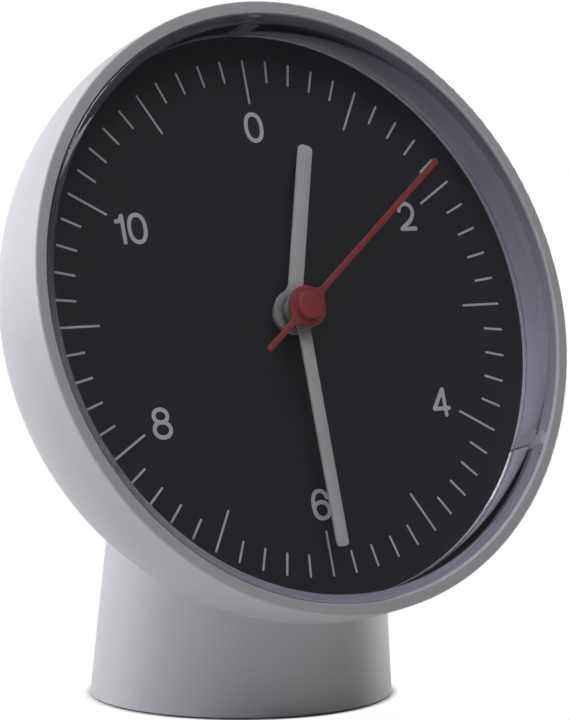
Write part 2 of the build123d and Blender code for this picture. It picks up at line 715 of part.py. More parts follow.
def base_screws():
    screws = []
    for at in PILLARS:
        screw = rod(HEAD_SCREW_R, FOOT_T, FOOT_T + HEAD_SCREW_T, *at)
        screw += rod(SCREW_R, FOOT_T, FLOOR + SCREW_L, *at)
        for turn in (0, 90):
            screw -= Pos(*at, FOOT_T) * Rot(0, 0, turn) * Box(*SCREW_SLOT, HEAD_SCREW_T)
        screws.append(screw)
    return Compound(children=screws)


def foot_pad():
    return rod(FOOT_R, 0, FOOT_T)


def joint_items(make):
    """One item on each bolt axis, made by a function in the joint frame."""
    frame = joint_frame()
    return Compound(children=[frame * Pos(x, 0, 0) * make() for x in (-BOLT_X, BOLT_X)])


def head_bolt():
    seat = BOSS_OUT + WASHER_T
    bolt = rod(BOLT_R, seat, -BOSS_IN - NUT_T - BOLT_END)
    bolt += rod(BOLT_HEAD_R, seat, seat + BOLT_HEAD_T)
    socket = extrude(RegularPolygon(KEY_R, 6), KEY_DEPTH)
    return bolt - Pos(0, 0, seat + BOLT_HEAD_T - KEY_DEPTH) * socket


def head_washer():
    level = (BOSS_OUT, BOSS_OUT + WASHER_T)
    return rod(WASHER_R, *level) - rod(BOLT_R + BOLT_ROOM / 2, *level)


def head_nut():
    hexagon = RegularPolygon(NUT_FLAT / 2, 6, major_radius=False)
    nut = Pos(0, 0, -BOSS_IN - NUT_T) * extrude(hexagon, NUT_T)
    return nut - rod(BOLT_R, -BOSS_IN, -BOSS_IN - NUT_T)


# ---------------------------------------------------------------- output
def write(node, shape):
    export_step(shape, f"parts/{node}.step")
    print(node)


HEAD_PARTS = {
    "head_shell": head_shell,
    "lens": lens,
    "dial": dial,
    "rear_cover": rear_cover,
    "hour_hand": hour_hand,
    "minute_hand": minute_hand,
    "second_hand": second_hand,
    "second_shaft": second_shaft,
    "second_wheel": second_wheel,
    "third_wheel": third_wheel,
    "minute_wheel": minute_wheel,
    "minute_pipe": minute_pipe,
    "transfer_wheel": transfer_wheel,
    "hour_wheel": hour_wheel,
    "intermediate_wheel": intermediate_wheel,
    "rotor_pinion": rotor_pinion,
    "rotor_magnet": rotor_magnet,
    "setting_shaft": setting_shaft,
    "setting_knob": setting_knob,
    "movement_case": movement_case,
    "movement_back": movement_back,
    "train_bridge": train_bridge,
    "stator": stator,
    "coil_bobbin": coil_bobbin,
    "coil_winding": coil_winding,
    "circuit_board": circuit_board,
    "ic_chip": ic_chip,
    "quartz_crystal": quartz_crystal,
    "battery": battery,
    "battery_contact_plus": lambda: battery_contact(1),
    "battery_contact_minus": lambda: battery_contact(-1),
}

BASE_PARTS = {
    "movement_screws": movement_screws,
    "base_shell": base_shell,
    "base_weight": base_weight,
    "bottom_plate": bottom_plate,
    "base_screws": base_screws,
    "foot_pad": foot_pad,
    "head_bolts": lambda: joint_items(head_bolt),
    "head_washers": lambda: joint_items(head_washer),
    "head_nuts": lambda: joint_items(head_nut),
}

os.makedirs("parts", exist_ok=True)
for node_name, build in HEAD_PARTS.items():
    write(node_name, HEAD * build())
for node_name, build in BASE_PARTS.items():
    write(node_name, build())
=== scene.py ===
import json
import math

import bmesh
import bpy
from mathutils import Matrix, Vector


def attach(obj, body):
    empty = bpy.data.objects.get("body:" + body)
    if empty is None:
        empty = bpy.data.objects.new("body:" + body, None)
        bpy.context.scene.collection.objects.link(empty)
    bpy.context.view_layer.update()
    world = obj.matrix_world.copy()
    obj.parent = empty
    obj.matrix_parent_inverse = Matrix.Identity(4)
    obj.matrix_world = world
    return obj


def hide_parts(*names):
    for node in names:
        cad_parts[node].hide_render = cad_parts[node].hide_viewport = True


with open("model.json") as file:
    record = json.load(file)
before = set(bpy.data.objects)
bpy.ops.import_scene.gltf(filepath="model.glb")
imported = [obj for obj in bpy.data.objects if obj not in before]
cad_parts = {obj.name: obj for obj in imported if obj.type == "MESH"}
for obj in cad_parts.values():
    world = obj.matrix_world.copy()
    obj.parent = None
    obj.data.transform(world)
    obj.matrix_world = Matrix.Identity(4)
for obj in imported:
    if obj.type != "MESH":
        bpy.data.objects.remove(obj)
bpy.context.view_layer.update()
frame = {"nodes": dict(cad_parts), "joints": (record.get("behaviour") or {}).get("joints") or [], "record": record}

MM = 0.001                 # lengths are in millimetres unless a comment or docstring says metres
scene = bpy.context.scene
nodes = frame["nodes"]

# ---------------------------------------------------------------- frames
# The head frame: x right, y up the dial, z out of the rim plane towards the reader.
seconds = next(j for j in frame["joints"] if j["name"] == "second_spin")
OUT = -Vector(seconds["axis"]).normalized()
UP = OUT.cross(Vector((1, 0, 0)))
AXIS_POINT = Vector(seconds["pos_m"])


def reach(node):
    """Lowest and highest level of a node along the head's axis, in metres."""
    levels = [v.co.dot(OUT) for v in nodes[node].data.vertices]
    return min(levels), max(levels)


RIM_LEVEL = reach("head_shell")[1]
RIM = AXIS_POINT + OUT * (RIM_LEVEL - AXIS_POINT.dot(OUT))
HEAD = Matrix.Translation(RIM) @ Matrix(((1, 0, 0), UP, OUT)).transposed().to_4x4()


def head_level(node):
    """Lowest and highest level of a node in the head frame, in millimetres."""
    low, high = reach(node)
    return (low - RIM_LEVEL) / MM, (high - RIM_LEVEL) / MM


# Levels and radii in the head frame that more than one section needs.
DIAL_FRONT = head_level("dial")[1]
LENS_R = 47.85
SKIRT_WALL = 1.4           # thickness of the lens's skirt
SKIRT_IN = LENS_R - SKIRT_WALL

# ---------------------------------------------------------------- camera and lamps
# The photo's view, solved from the ticks of the dial, the rim and the base. Angles are in degrees.
CAMERA_AT = Vector((-325.56, -485.09, 109.25)) * MM
CAMERA_HEADING = 34.577    # clockwise from +y, seen from above
CAMERA_DIP = 5.352         # below level
CAMERA_ROLL = -0.017       # about the line of sight
FOCAL_MM = 180.3
SENSOR_MM = 36.0
FAR_CLIP = 20.0            # metres
LAMP_AIM = Vector((0, 0, 60)) * MM


def camera():
    """The scene's camera, at the photo's view."""
    data = bpy.data.cameras.new("camera")
    data.lens = FOCAL_MM
    data.sensor_width = SENSOR_MM
    data.clip_end = FAR_CLIP
    eye = bpy.data.objects.new("camera", data)
    scene.collection.objects.link(eye)
    turn = Matrix.Rotation(math.radians(-CAMERA_HEADING), 4, "Z")
    turn @= Matrix.Rotation(math.radians(90 - CAMERA_DIP), 4, "X")
    turn @= Matrix.Rotation(math.radians(CAMERA_ROLL), 4, "Z")
    eye.matrix_world = Matrix.Translation(CAMERA_AT) @ turn
    scene.camera = eye


def softbox(name, azimuth, height, distance, size, power, colour):
    """Rectangular lamp, in metres and watts. Azimuth, in degrees: 0 is on the camera's side of the
    clock, 90 is on the camera's left, and 180 is behind the clock. Height is above the aim."""
    bearing = math.radians(CAMERA_HEADING + azimuth)
    away = -Vector((math.sin(bearing), math.cos(bearing), 0))
    data = bpy.data.lights.new(name, "AREA")
    data.shape = "RECTANGLE"
    data.size, data.size_y = size
    data.energy = power
    data.color = colour
    lamp = bpy.data.objects.new(name, data)
    scene.collection.objects.link(lamp)
    lamp.location = LAMP_AIM + away * distance + Vector((0, 0, height))
    lamp.rotation_euler = (LAMP_AIM - lamp.location).to_track_quat("-Z", "Y").to_euler()


# ---------------------------------------------------------------- node helpers
def fresh(name):
    """New material: (material, node tree, Principled shader)."""
    mat = bpy.data.materials.new(name)
    mat.use_nodes = True
    return mat, mat.node_tree, mat.node_tree.nodes["Principled BSDF"]


def add(tree, kind, **values):
    """New shader node. A keyword is one of its settings or else one of its inputs, with _ for a space."""
    node = tree.nodes.new("ShaderNode" + kind)
    for key, value in values.items():
        if hasattr(node, key):
            setattr(node, key, value)
        else:
            node.inputs[key.replace("_", " ")].default_value = value
    return node


def feed(tree, values, sockets):
    """Links each value that is a socket, and sets each value that is a constant."""
    for value, socket in zip(values, sockets):
        if isinstance(value, bpy.types.NodeSocket):
            tree.links.new(value, socket)
        else:
            socket.default_value = value


def object_point(tree):
    """The shaded point in object space, in metres. Every piece's object space is the shared frame."""
    return add(tree, "TexCoord").outputs["Object"]


def noise(tree, scale, detail=3.0, rough=0.5):
    """Noise in object space; scale is in waves per metre."""
    texture = add(tree, "TexNoise", Scale=scale, Detail=detail, Roughness=rough)
    tree.links.new(object_point(tree), texture.inputs["Vector"])
    return texture.outputs["Fac"]


def spread(tree, value, low, high, start=0.3, stop=0.7):
    """Maps start..stop to low..high, and holds the ends."""
    node = add(tree, "MapRange", From_Min=start, From_Max=stop, To_Min=low, To_Max=high)
    tree.links.new(value, node.inputs["Value"])
    return node.outputs["Result"]


def over(tree, value, level, blend):
    """0 where a value is under the level and 1 where it is over level + blend."""
    return spread(tree, value, 0.0, 1.0, level, level + blend)


def mixed(tree, factor, one, two):
    """Colour mix; one and two are colours or sockets."""
    node = add(tree, "Mix", data_type="RGBA")
    tree.links.new(factor, node.inputs["Factor"])
    ends = [(*value, 1) if isinstance(value, tuple) else value for value in (one, two)]
    feed(tree, ends, [socket for socket in node.inputs if socket.type == "RGBA"])
    return next(socket for socket in node.outputs if socket.type == "RGBA")


def math_node(tree, operation, *values):
    """Maths on numbers or sockets."""
    node = add(tree, "Math", operation=operation)
    feed(tree, values, node.inputs)
    return node.outputs["Value"]


def vector_node(tree, operation, *values):
    """Vector maths on vectors or sockets; LENGTH and DOT_PRODUCT give a number."""
    node = add(tree, "VectorMath", operation=operation)
    feed(tree, values, node.inputs)
    return node.outputs["Value" if operation in ("LENGTH", "DOT_PRODUCT") else "Vector"]


def either(tree, factor, one, two, output="Material Output"):
    """Puts out shader one where the factor is 0, and shader two where it is 1."""
    mix = add(tree, "MixShader")
    feed(tree, (factor, one.outputs[0], two.outputs[0]), mix.inputs)
    tree.links.new(mix.outputs[0], tree.nodes[output].inputs["Surface"])


def scaled(colour, factor):
    """A lighter or darker colour, held at 1."""
    return tuple(min(1.0, c * factor) for c in colour)


def bump(tree, shader, height, depth, strength=1.0):
    """Bumps a shader by a height socket of 0 to 1."""
    node = add(tree, "Bump", Strength=strength, Distance=depth * MM)
    tree.links.new(height, node.inputs["Height"])
    tree.links.new(node.outputs["Normal"], shader.inputs["Normal"])


PATCHES = 60.0             # waves per metre of the broad variation in every finish


def finish(name, colour, vary, grain, rough, depth, metal=0.0, coat=0.0):
    """A surface with fine grain over broad patches, in its colour and roughness, and a fine bump."""
    mat, tree, shader = fresh(name)
    fine = noise(tree, grain, 4.0, 0.6)
    wide = noise(tree, PATCHES)
    halves = [math_node(tree, "MULTIPLY", value, 0.5) for value in (fine, wide)]
    blend = spread(tree, math_node(tree, "ADD", *halves), 0, 1, 0.35, 0.65)
    colour_out = mixed(tree, blend, scaled(colour, 1 - vary), scaled(colour, 1 + vary))
    tree.links.new(colour_out, shader.inputs["Base Color"])
    tree.links.new(spread(tree, wide, *rough), shader.inputs["Roughness"])
    bump(tree, shader, fine, depth)
    shader.inputs["Metallic"].default_value = metal
    shader.inputs["Coat Weight"].default_value = coat
    return mat


def from_axis(tree):
    """Distance from the axis of the hands, and level along it in the head frame."""
    offset = vector_node(tree, "SUBTRACT", object_point(tree), RIM)
    far = vector_node(tree, "LENGTH", vector_node(tree, "CROSS_PRODUCT", offset, OUT))
    level = vector_node(tree, "DOT_PRODUCT", offset, OUT)
    return math_node(tree, "DIVIDE", far, MM), math_node(tree, "DIVIDE", level, MM)


def shaded(name, factor, colour):
    """Mixes a colour over a finished material's own, by the socket of 0 to 1 that factor(tree) makes."""
    tree = MATERIALS[name].node_tree
    target = tree.nodes["Principled BSDF"].inputs["Base Color"]
    own = target.links[0].from_socket
    tree.links.new(mixed(tree, factor(tree), own, colour), target)


# ---------------------------------------------------------------- materials
PAINT = (0.468, 0.466, 0.492)
RAW_SHELL = (0.60, 0.575, 0.64)
SPECKLE = 0.07             # share by which the fine speckle of the paint varies
BOWL_MIDDLE = 12.0         # depth behind the rim of a point that every inside face of the bowl faces
# Painted shade on the hands: they darken toward their hubs, where the hubs and collars shade them.
HUB_DARK = 0.75            # how far the hands darken at their hubs
HUB_FADE = (2.2, 5.5)      # distances from the axis between which that fades out
# The cell lies along x, with its middle at x = 0.
CELL_BARE = 23.45          # the metal ends begin here
CELL_BAND = (12.0, 20.5)   # the pale band on the wrap


def paint_material():
    """Satin powder-like paint outside; the unpainted moulding shows on every inside face."""
    mat, tree, shader = fresh("satin_paint")
    grain = noise(tree, 3800, 3.0, 0.65)
    pores = noise(tree, 1300, 2.0)
    cloud = noise(tree, 45)

    def speckled(colour):
        ends = [scaled(colour, 1 - SPECKLE), scaled(colour, 1 + SPECKLE)]
        return mixed(tree, spread(tree, grain, 0, 1, 0.36, 0.64), *ends)

    painted = mixed(tree, spread(tree, cloud, 0, 0.5), speckled(PAINT), scaled(PAINT, 1.03))
    offset = vector_node(tree, "SUBTRACT", object_point(tree), RIM - OUT * BOWL_MIDDLE * MM)
    facing = vector_node(tree, "DOT_PRODUCT", offset, add(tree, "NewGeometry").outputs["True Normal"])
    inside = math_node(tree, "LESS_THAN", facing, 0.0)
    tree.links.new(mixed(tree, inside, painted, speckled(RAW_SHELL)), shader.inputs["Base Color"])
    tree.links.new(spread(tree, pores, 0.42, 0.52), shader.inputs["Roughness"])
    height = math_node(tree, "ADD", math_node(tree, "MULTIPLY", grain, 0.6), pores)
    bump(tree, shader, height, 0.01)
    return mat


def lens_material():
    """Clear moulded acrylic with faint waves; lamps reach the dial through it."""
    mat, tree, shader = fresh("clear_acrylic")
    shader.inputs["Base Color"].default_value = (0.97, 0.97, 0.985, 1)
    shader.inputs["Transmission Weight"].default_value = 1.0
    shader.inputs["IOR"].default_value = 1.49
    shader.inputs["Roughness"].default_value = 0.0
    bump(tree, shader, noise(tree, 90, 2.0, 0.4), 0.01, 0.6)
    clear = add(tree, "BsdfTransparent", Color=(0.9, 0.9, 0.92, 1))
    either(tree, add(tree, "LightPath").outputs["Is Shadow Ray"], shader, clear)
    return mat


# name: (colour, share by which it varies, grain in waves per metre, (least, most) roughness,
#        depth of the bump, then metal and clear coat where there is any)
FINISHES = {
    "satin_paint_base": (PAINT, 0.06, 3800.0, (0.42, 0.52), 0.01),
    "dial_black": ((0.0075, 0.0079, 0.0098), 0.10, 5200.0, (0.62, 0.75), 0.006),
    "dial_ink": ((0.52, 0.52, 0.515), 0.05, 4200.0, (0.55, 0.7), 0.004),
    "hand_grey": ((0.45, 0.44, 0.43), 0.05, 2600.0, (0.38, 0.5), 0.004),
    "hand_red": ((0.27, 0.034, 0.040), 0.06, 2600.0, (0.38, 0.5), 0.004),
    "pad_frosted": ((0.44, 0.43, 0.47), 0.05, 2600.0, (0.3, 0.4), 0.004),
    "case_plastic": ((0.030, 0.030, 0.033), 0.12, 4200.0, (0.5, 0.65), 0.01),
    "gear_white": ((0.72, 0.70, 0.62), 0.04, 1500.0, (0.28, 0.4), 0.003),
    "gear_brass": ((0.80, 0.58, 0.27), 0.07, 2500.0, (0.22, 0.36), 0.003, 1.0),
    "steel": ((0.60, 0.60, 0.61), 0.06, 3000.0, (0.24, 0.38), 0.003, 1.0),
    "iron": ((0.16, 0.155, 0.15), 0.16, 1800.0, (0.5, 0.7), 0.01, 0.6),
    "copper": ((0.62, 0.23, 0.10), 0.10, 2500.0, (0.25, 0.4), 0.003, 0.7),
    "board": ((0.03, 0.16, 0.06), 0.12, 1600.0, (0.3, 0.45), 0.004),
    "epoxy": ((0.015, 0.015, 0.016), 0.15, 2600.0, (0.3, 0.45), 0.004),
    "battery_wrap": ((0.03, 0.07, 0.17), 0.06, 900.0, (0.2, 0.3), 0.002, 0.0, 0.3),
    "rubber_foot": ((0.028, 0.028, 0.029), 0.15, 2300.0, (0.7, 0.85), 0.02),
}
MATERIALS = {name: finish(name, *facts) for name, facts in FINISHES.items()}
MATERIALS["head_paint"] = paint_material()
MATERIALS["lens_clear"] = lens_material()


def painted_hub_shade(tree):
    """Painted shade: HUB_DARK at the hubs of the hands, falling to 0 along their bars."""
    return spread(tree, from_axis(tree)[0], HUB_DARK, 0.0, *HUB_FADE)


def painted_pipe_shade(tree):
    """Painted shade: 1 on the ends of the pipes, which stand out in front of the dial."""
    return over(tree, from_axis(tree)[1], DIAL_FRONT, 0.1)


def under_skirt(tree):
    """1 on the ring of the dial that the foot of the lens stands on."""
    return over(tree, from_axis(tree)[0], SKIRT_IN - 0.05, 0.05)


def along_cell(tree):
    """Distance along the cell from its middle, positive toward the positive end."""
    split = add(tree, "SeparateXYZ")
    tree.links.new(object_point(tree), split.inputs[0])
    return math_node(tree, "DIVIDE", split.outputs["X"], MM)


def cell_ends(tree):
    """1 on the bare metal ends of the cell."""
    return over(tree, math_node(tree, "ABSOLUTE", along_cell(tree)), CELL_BARE, 0.05)


def cell_band(tree):
    """1 on the pale band round the positive end of the wrap."""
    along = along_cell(tree)
    starts, stops = (over(tree, along, level, 0.1) for level in CELL_BAND)
    return math_node(tree, "SUBTRACT", starts, stops)


# Painted shade under the hubs of the hands.
shaded("hand_grey", painted_hub_shade, (0.10, 0.10, 0.105))
# Painted shade on the white pipe ends in front of the dial, as dark as the shade at the hubs.
shaded("gear_white", painted_pipe_shade, (0.13, 0.13, 0.135))
shaded("dial_black", under_skirt, (0.34, 0.33, 0.38))
shaded("battery_wrap", cell_band, (0.50, 0.36, 0.12))
shaded("battery_wrap", cell_ends, (0.55, 0.55, 0.56))
slots = {part["node"]: part["material_slot"] for part in frame["record"]["subparts"]}
for name, node in nodes.items():
    node.data.materials.clear()
    node.data.materials.append(MATERIALS[slots[name]])
nodes["base_shell"].data.materials[0] = MATERIALS["satin_paint_base"]   # no inside face of it shows


# ---------------------------------------------------------------- mesh helpers
def piece(name, mesh, body, material, stands_for=()):
    """Links a mesh that was built in the head frame, and binds it to its body."""
    mesh.transform(HEAD @ Matrix.Scale(MM, 4))
    mesh.materials.clear()
    mesh.materials.append(material)
    obj = bpy.data.objects.new(name, mesh)
    scene.collection.objects.link(obj)
    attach(obj, body)
    if stands_for:
        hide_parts(*stands_for)


def smooth(mesh, degrees=40.0):
    """Smooth shading with edges sharper than this kept sharp."""
    mesh.polygons.foreach_set("use_smooth", [True] * len(mesh.polygons))
    mesh.set_sharp_from_angle(angle=math.radians(degrees))


WELD = 0.0005              # vertices closer than this are one


def plate_mesh(name, outlines, low, high, edge):
    """Flat plate from closed outlines (holes wind the other way), its edges rounded by a radius."""
    curve = bpy.data.curves.new(name, "CURVE")
    curve.dimensions = "2D"
    curve.fill_mode = "BOTH"
    curve.extrude = (high - low) / 2 - edge
    curve.bevel_depth = edge
    curve.bevel_resolution = 2
    curve.offset = -edge
    for outline in outlines:
        spline = curve.splines.new("POLY")
        spline.points.add(len(outline) - 1)
        for point, (x, y) in zip(spline.points, outline):
            point.co = (x, y, 0, 1)
        spline.use_cyclic_u = True
    holder = bpy.data.objects.new(name, curve)
    scene.collection.objects.link(holder)
    bpy.context.view_layer.update()
    graph = bpy.context.evaluated_depsgraph_get()
    mesh = bpy.data.meshes.new_from_object(holder.evaluated_get(graph))
    bpy.data.objects.remove(holder)
    mesh.transform(Matrix.Translation((0, 0, (low + high) / 2)))
    bm = bmesh.new()
    bm.from_mesh(mesh)
    bmesh.ops.remove_doubles(bm, verts=bm.verts, dist=WELD)
    bmesh.ops.recalc_face_normals(bm, faces=bm.faces)
    bm.to_mesh(mesh)
    bm.free()
    smooth(mesh)
    return mesh


def arc(centre, radius, start, stop, steps):
    """Points on an arc, degrees counter-clockwise from +x; both ends included."""
    points = []
    for k in range(steps + 1):
        a = math.radians(start + (stop - start) * k / steps)
        points.append((centre[0] + radius * math.cos(a), centre[1] + radius * math.sin(a)))
    return points


def spun(name, profile, turns):
    """Solid of revolution about z from a closed outline of (radius, z) points. A point on the axis is a
    pole, and two poles in a row have nothing between them."""
    bm = bmesh.new()
    rings = []
    for radius, z in profile:
        if radius < 1e-6:
            rings.append([bm.verts.new((0, 0, z))])
            continue
        ring = []
        for k in range(turns):
            a = 2 * math.pi * k / turns
            ring.append(bm.verts.new((radius * math.cos(a), radius * math.sin(a), z)))
        rings.append(ring)
    for one, two in zip(rings, rings[1:] + rings[:1]):
        if len(one) == 1 and len(two) == 1:
            continue
        for k in range(turns):
            n = (k + 1) % turns
            if len(one) == 1:
                bm.faces.new((one[0], two[n], two[k]))
            elif len(two) == 1:
                bm.faces.new((one[k], one[n], two[0]))
            else:
                bm.faces.new((one[k], one[n], two[n], two[k]))
    bmesh.ops.recalc_face_normals(bm, faces=bm.faces)
    mesh = bpy.data.meshes.new(name)
    bm.to_mesh(mesh)
    bm.free()
    return mesh


def joined(meshes):
    """One mesh that holds copies of several, named after the first."""
    bm = bmesh.new()
    for mesh in meshes:
        bm.from_mesh(mesh)
    out = bpy.data.meshes.new(meshes[0].name)
    bm.to_mesh(out)
    bm.free()
    return out


# ---------------------------------------------------------------- dial print
INK_T = 0.03
INK_STEP = 0.004           # strokes that may meet differ in height by this, so that their tops don't fight
TICK_OUT = 42.48           # radius of the ticks' outer ends
TICK_SHORT = 38.74         # radii of their inner ends, for a minute and for an hour
TICK_LONG = 35.06
TICK_W = 0.36
STROKE = 0.68              # width of the lines of the figures
ZERO = (1.46, 2.2)         # half the width and half the height of a 0


def ribbon(bm, points, width, closed, low, high):
    """Thin solid along points: a loop, or an open line with round ends."""
    count = len(points)
    half = width / 2
    left, right = [], []
    for k, (x, y) in enumerate(points):
        before = points[(k - 1) % count] if closed or k else points[0]
        after = points[(k + 1) % count] if closed or k < count - 1 else points[-1]
        dx, dy = after[0] - before[0], after[1] - before[1]
        size = math.hypot(dx, dy) or 1.0
        nx, ny = -dy / size * half, dx / size * half
        left.append((x + nx, y + ny))
        right.append((x - nx, y - ny))
    if closed:
        rings = [[[bm.verts.new((x, y, z)) for x, y in loop] for loop in (left, right)] for z in (low, high)]
        for k in range(count):
            n = (k + 1) % count
            bm.faces.new((rings[1][0][k], rings[1][0][n], rings[1][1][n], rings[1][1][k]))
            bm.faces.new((rings[0][0][k], rings[0][1][k], rings[0][1][n], rings[0][0][n]))
            for side in (0, 1):
                bm.faces.new((rings[0][side][k], rings[0][side][n], rings[1][side][n], rings[1][side][k]))
        return
    start, end = points[0], points[-1]
    a0 = math.degrees(math.atan2(left[0][1] - start[1], left[0][0] - start[0]))
    a1 = math.degrees(math.atan2(right[-1][1] - end[1], right[-1][0] - end[0]))
    cap_end = arc(end, half, a1, a1 + 180, 8)[1:-1]
    cap_start = arc(start, half, a0, a0 + 180, 8)[1:-1]
    outline = right + cap_end + left[::-1] + cap_start
    floor, roof = ([bm.verts.new((x, y, z)) for x, y in outline] for z in (low, high))
    bm.faces.new(roof)
    bm.faces.new(floor[::-1])
    for k in range(len(outline)):
        n = (k + 1) % len(outline)
        bm.faces.new((floor[k], floor[n], roof[n], roof[k]))


def oval(cx, cy, rx, ry, power=2.25, start=0.0, stop=360.0, steps=48):
    """Points on an oval, squarer as power grows over 2; a full turn leaves its last point out."""
    points = []
    whole = abs(stop - start) >= 360
    for k in range(steps if whole else steps + 1):
        a = math.radians(start + (stop - start) * k / steps)
        c, s = math.cos(a), math.sin(a)
        points.append((
            cx + rx * math.copysign(abs(c) ** (2 / power), c),
            cy + ry * math.copysign(abs(s) ** (2 / power), s),
        ))
    return points


def numerals():
    """Centre lines of the hour figures: (points, closed)."""
    two_top = oval(27.02, 16.27, 1.36, 1.36, 2.0, 172, -20, 20)
    two_tail = [(28.02, 15.25), (27.6, 14.75), (27.1, 14.35), (26.3, 13.85), (25.72, 13.44)]
    six_spine = oval(-0.08, -30.85, *ZERO, 2.2, 28, 270, 36)
    six_bowl = oval(-0.08, -31.76, 1.42, 1.3, 2.1)
    return [
        # 0, at the top
        (oval(0, 31.15, *ZERO), True),
        # 2
        (two_top + two_tail, False),
        ([(25.7, 13.38), (28.42, 13.38)], False),
        # 4
        ([(27.7, -18.02), (27.7, -13.78)], False),
        ([(27.62, -13.8), (25.5, -16.9)], False),
        ([(25.55, -16.93), (28.42, -16.93)], False),
        # 6
        (six_spine, False),
        (six_bowl, True),
        # 8
        (oval(-26.98, -14.76, 1.24, 1.02, 2.1), True),
        (oval(-26.96, -16.97, 1.48, 1.2, 2.1), True),
        # 10
        ([(-27.85, 13.04), (-27.85, 17.32)], False),
        ([(-28.98, 16.44), (-28.45, 16.5), (-28.12, 16.82), (-27.9, 17.3)], False),
        (oval(-25.25, 15.2, *ZERO), True),
    ]


def dial_print():
    """The 60 ticks and the figures, as ink that stands a little out of the dial."""
    bm = bmesh.new()
    top = DIAL_FRONT + INK_T
    for k in range(60):
        inner = TICK_LONG if k % 5 == 0 else TICK_SHORT
        a = math.radians(6 * k)
        ends = (inner + TICK_W / 2, TICK_OUT - TICK_W / 2)
        line = [(r * math.sin(a), r * math.cos(a)) for r in ends]
        ribbon(bm, line, TICK_W, False, DIAL_FRONT, top)
    for k, (points, closed) in enumerate(numerals()):
        ribbon(bm, points, STROKE, closed, DIAL_FRONT, top + INK_STEP * (k % 4))
    bmesh.ops.recalc_face_normals(bm, faces=bm.faces)
    mesh = bpy.data.meshes.new("dial_print")
    bm.to_mesh(mesh)
    bm.free()
    piece("dial_print", mesh, "clock_body", MATERIALS["dial_ink"])


# ---------------------------------------------------------------- hands
HAND_T = 0.5               # thickness of the plates
HAND_EDGE = 0.09           # radius of their edges
LAP = 0.05                 # how far a grey collar reaches into its plate
CHAMFER = 0.08             # of a collar's lower edge
SHAFT_R = 0.63
MINUTE_PIPE_R = 1.65
HOUR_PIPE_R = 2.50
# tip is the radius of the bar's corners, and flare the radius where the bar meets the hub.
HOUR_BAR = {"hub_r": 3.65, "width": 2.65, "length": 28.6, "tip": 0.85, "flare": 2.4}
MINUTE_BAR = {"hub_r": 2.75, "width": 2.2, "length": 38.3, "tip": 0.7, "flare": 2.9}
SWEEP_BAR = {"hub_r": 3.4, "width": 0.95, "length": 38.7, "tip": 0.3, "flare": 2.2, "tail": 11.1}
HOUR_COLLAR_R = 2.85
MINUTE_COLLAR_R = 2.3
SWEEP_COLLAR_R = 1.3
BOSS_R = 2.3
BOSS_H = 1.0               # height of the red boss over its plate
BOSS_ROUND = 0.28          # radius of its top edge
BOSS_SPREAD = 0.1          # its foot is this much wider
BOSS_FILLET = 0.12         # the foot begins to widen at this height over the plate
BOSS_SUNK = 0.02           # and is at its widest this far into it
BOSS_DEEP = 0.25           # the foot ends this far into the plate
BOSS_GAP = 0.05            # between the foot and the red collar
TIP_SHARE = 0.97           # vertices past this share of a hand's length are its tip


def bar_side(hub_r, half, length, tip, flare):
    """One bar, pointing up, from the hub's right side round the tip to its left, and the angle in
    degrees at which the right side meets the hub."""
    centre_x = half + flare
    centre_y = math.sqrt((hub_r + flare) ** 2 - centre_x ** 2)
    meet = math.degrees(math.atan2(centre_y, centre_x))
    side = arc((centre_x, centre_y), flare, 180 + meet, 180, 8)
    corner = arc((half - tip, length - tip), tip, 0, 90, 6)
    right = side + corner
    return right + [(-x, y) for x, y in right[::-1]], meet


def turned(points, degrees):
    """Points turned clockwise."""
    a = math.radians(-degrees)
    c, s = math.cos(a), math.sin(a)
    return [(x * c - y * s, x * s + y * c) for x, y in points]


def clock_angle(node):
    """Clock angle of a hand, in degrees, from the vertices farthest from the axis."""
    to_head = HEAD.inverted()
    points = [(to_head @ vertex.co).xy for vertex in nodes[node].data.vertices]
    far = max(math.hypot(*p) for p in points)
    tip = sum((p.normalized() for p in points if math.hypot(*p) > far * TIP_SHARE), Vector((0, 0)))
    return math.degrees(math.atan2(tip.x, tip.y)) % 360


def hand_outline(node, hub_r, width, length, tip, flare, tail=0.0):
    """Outline of a hub and its bar or bars, turned to the clock angle of the node."""
    up, meet = bar_side(hub_r, width / 2, length, tip, flare)
    if tail:
        down, _ = bar_side(hub_r, width / 2, tail, tip, flare)
        down = [(-x, -y) for x, y in down]
        left = arc((0, 0), hub_r, 180 - meet, 180 + meet, 24)[1:-1]
        right = arc((0, 0), hub_r, -meet, meet, 24)[1:-1]
        outline = up + left + down + right
    else:
        outline = up + arc((0, 0), hub_r, 180 - meet, 360 + meet, 64)[1:-1]
    return turned(outline, clock_angle(node))


def collar_mesh(bore, radius, low, high, turns):
    """Ring under a hand, chamfered at its lower edge."""
    profile = [(bore, high), (radius, high), (radius, low + CHAMFER), (radius - CHAMFER, low), (bore, low)]
    ring = spun("collar", profile, turns)
    smooth(ring)
    return ring


def grey_hand(name, node, body, sizes, bore, collar_r):
    """Hour or minute hand: a hub with its bar, and a collar on the pipe."""
    low, top = head_level(node)
    hole = arc((0, 0), bore, 360, 0, 48)[:-1]
    plate = plate_mesh(name, [hand_outline(node, **sizes), hole], top - HAND_T, top, HAND_EDGE)
    ring = collar_mesh(bore, collar_r, low, top - HAND_T + LAP, turns=96)
    piece(name, joined([plate, ring]), body, MATERIALS["hand_grey"], (node,))


